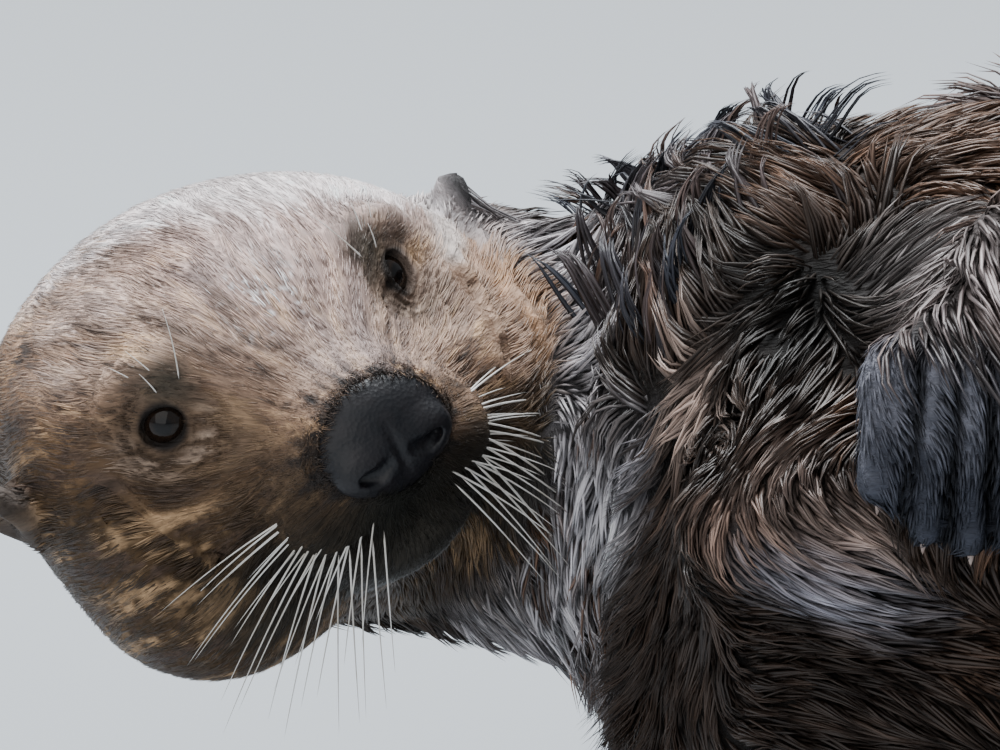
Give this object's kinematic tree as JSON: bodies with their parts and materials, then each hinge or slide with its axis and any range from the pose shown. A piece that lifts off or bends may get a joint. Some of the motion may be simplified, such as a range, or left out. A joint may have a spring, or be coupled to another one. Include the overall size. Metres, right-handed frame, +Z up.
{
  "type": "sea otter figure",
  "caption": "Life-size sea otter model lying on its back, head turned to its side, paws drooping over its chest, hind flippers raised.",
  "frame": {"origin": "middle of the bounding box, on the floor the otter's back rests on", "axes": "+X from the head to the tail, +Y to the animal's left side, +Z up, out of its belly"},
  "size_m": [1.2808, 0.4078, 0.256],
  "materials": {
    "body_fur": "wet brown fur",
    "head_fur": "short damp pale brown fur",
    "paw_fur": "very short slate-grey fur",
    "nose_skin": "bare blue-black skin, damp",
    "eye_dark": "very dark brown, wet gloss",
    "claw_horn": "pale horn"
  },
  "bodies": {
    "root": {"head": "head_fur", "ear_right": "head_fur", "ear_left": "head_fur", "muzzle": "head_fur", "lower_jaw": "head_fur", "nose_pad": "nose_skin", "eye_right": "eye_dark", "eye_left": "eye_dark", "neck": "body_fur", "chest": "body_fur", "belly": "body_fur", "rump": "body_fur", "tail_root": "body_fur", "tail_tip": "body_fur", "upper_arm_right": "body_fur", "forearm_right": "body_fur", "forepaw_right": "paw_fur", "thigh_right": "body_fur", "shank_right": "body_fur", "hind_flipper_right": "paw_fur", "upper_arm_left": "body_fur", "forearm_left": "body_fur", "forepaw_left": "paw_fur", "thigh_left": "body_fur", "shank_left": "body_fur", "hind_flipper_left": "paw_fur", "claw_fore_right_1": "claw_horn", "claw_fore_right_2": "claw_horn", "claw_fore_right_3": "claw_horn", "claw_fore_right_4": "claw_horn", "claw_fore_right_5": "claw_horn", "claw_fore_left_1": "claw_horn", "claw_fore_left_2": "claw_horn", "claw_fore_left_3": "claw_horn", "claw_fore_left_4": "claw_horn", "claw_fore_left_5": "claw_horn", "claw_hind_right_1": "claw_horn", "claw_hind_right_2": "claw_horn", "claw_hind_right_3": "claw_horn", "claw_hind_right_4": "claw_horn", "claw_hind_right_5": "claw_horn", "claw_hind_left_1": "claw_horn", "claw_hind_left_2": "claw_horn", "claw_hind_left_3": "claw_horn", "claw_hind_left_4": "claw_horn", "claw_hind_left_5": "claw_horn"}
  },
  "joints": []
}
